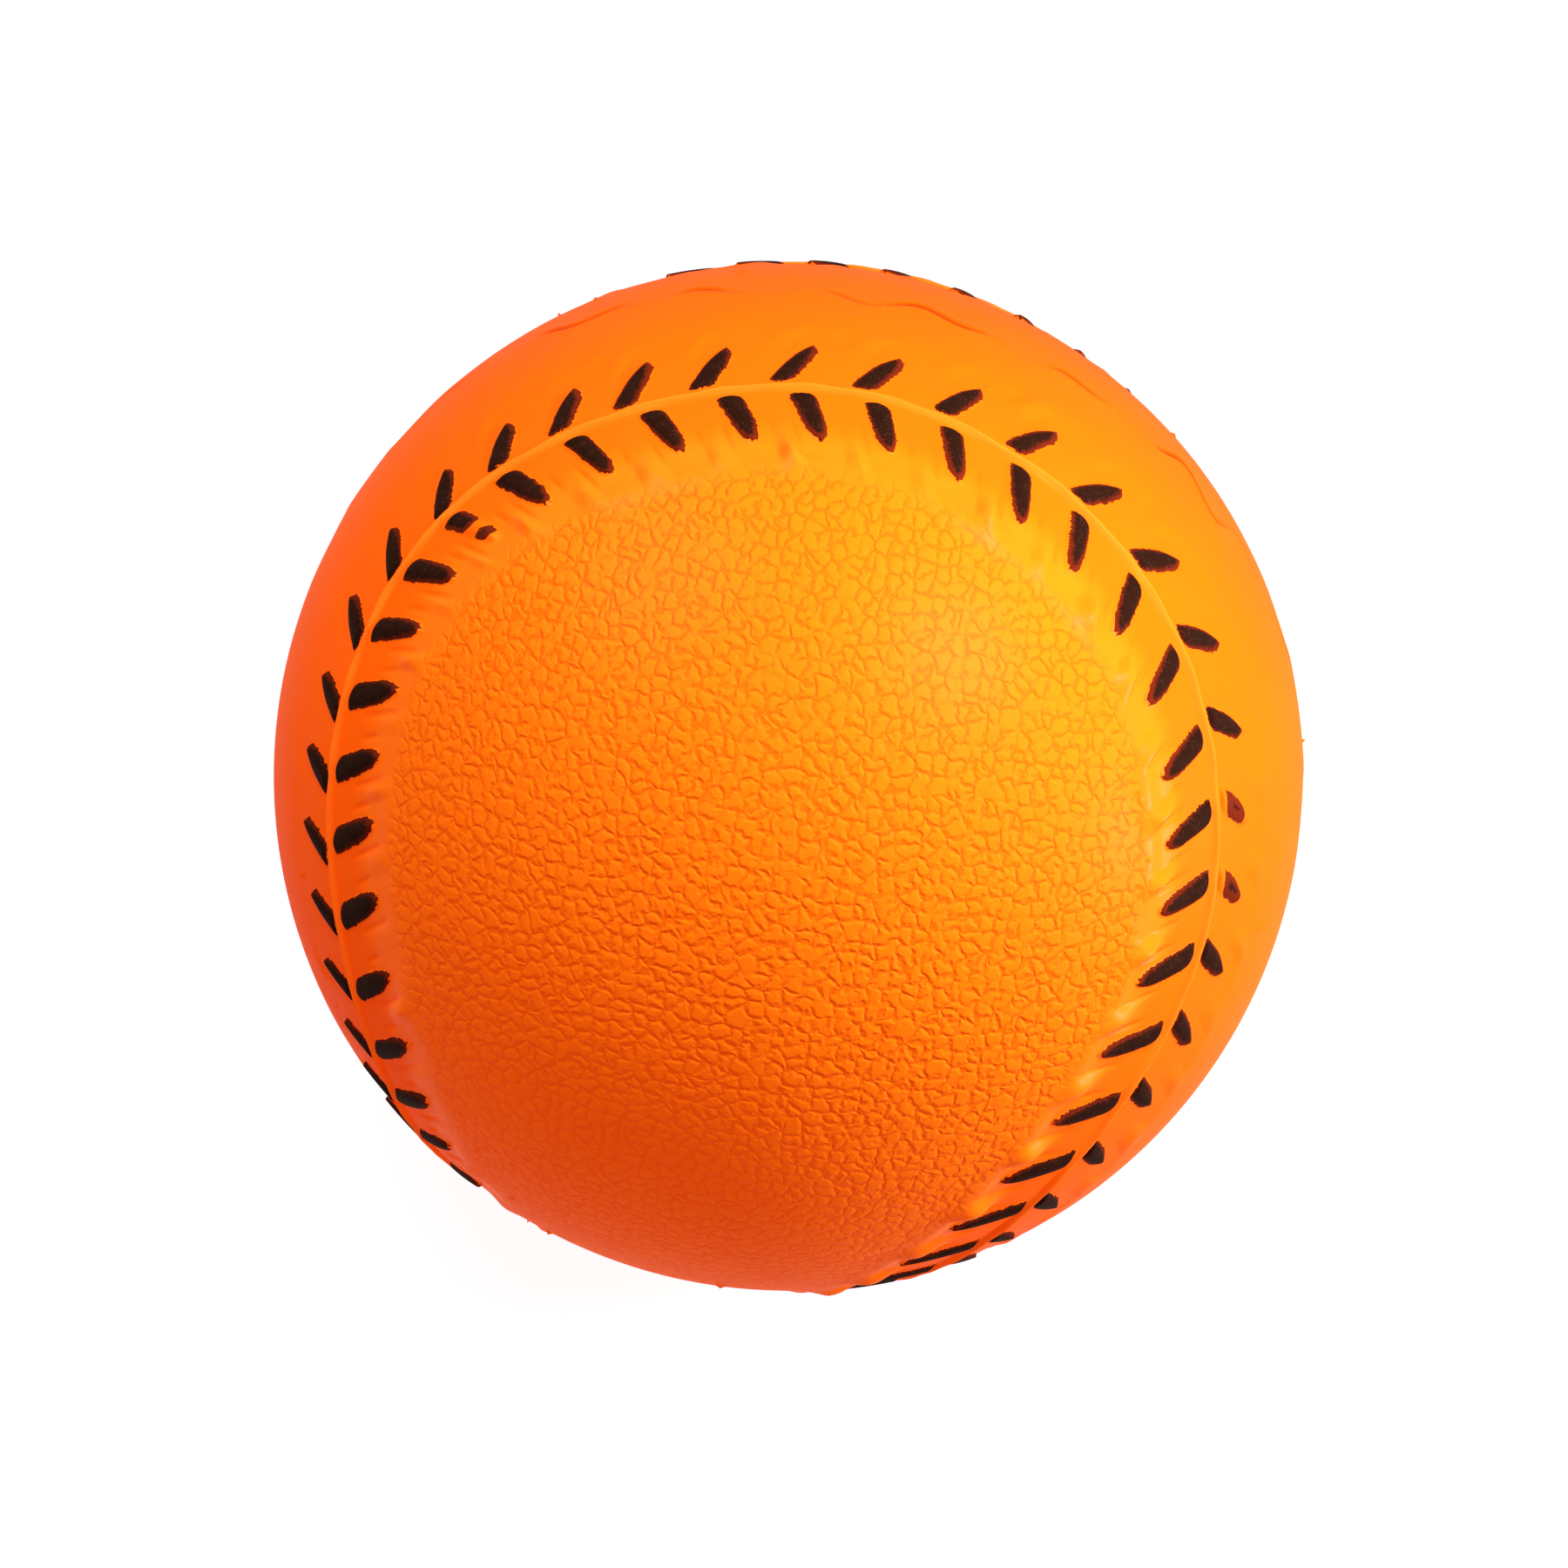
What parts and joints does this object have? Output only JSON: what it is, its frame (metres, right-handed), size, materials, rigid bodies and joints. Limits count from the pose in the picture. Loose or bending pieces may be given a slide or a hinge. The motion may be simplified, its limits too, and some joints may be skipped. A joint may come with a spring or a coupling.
{
  "type": "soft baseball",
  "caption": "Soft foam practice ball with a moulded skin, a raised seam line and moulded slanted stitches painted along both of its sides.",
  "frame": {"origin": "centre of the ball", "axes": "+Z through the closed upper ends of the front and back seam loops, -Y out of the front loop, +X to the right seen from the front; the mould parts on the XZ plane"},
  "size_m": [0.0722, 0.0718, 0.0722],
  "materials": {
    "skin": "soft polyurethane skin, satin, with moulded leather grain",
    "foam": "open cell polyurethane foam",
    "stitch_paint": "thin flexible black paint with ragged edges"
  },
  "bodies": {
    "root": {"foam_core": "foam", "skin_front_half": "skin", "skin_back_half": "skin"}
  },
  "joints": []
}
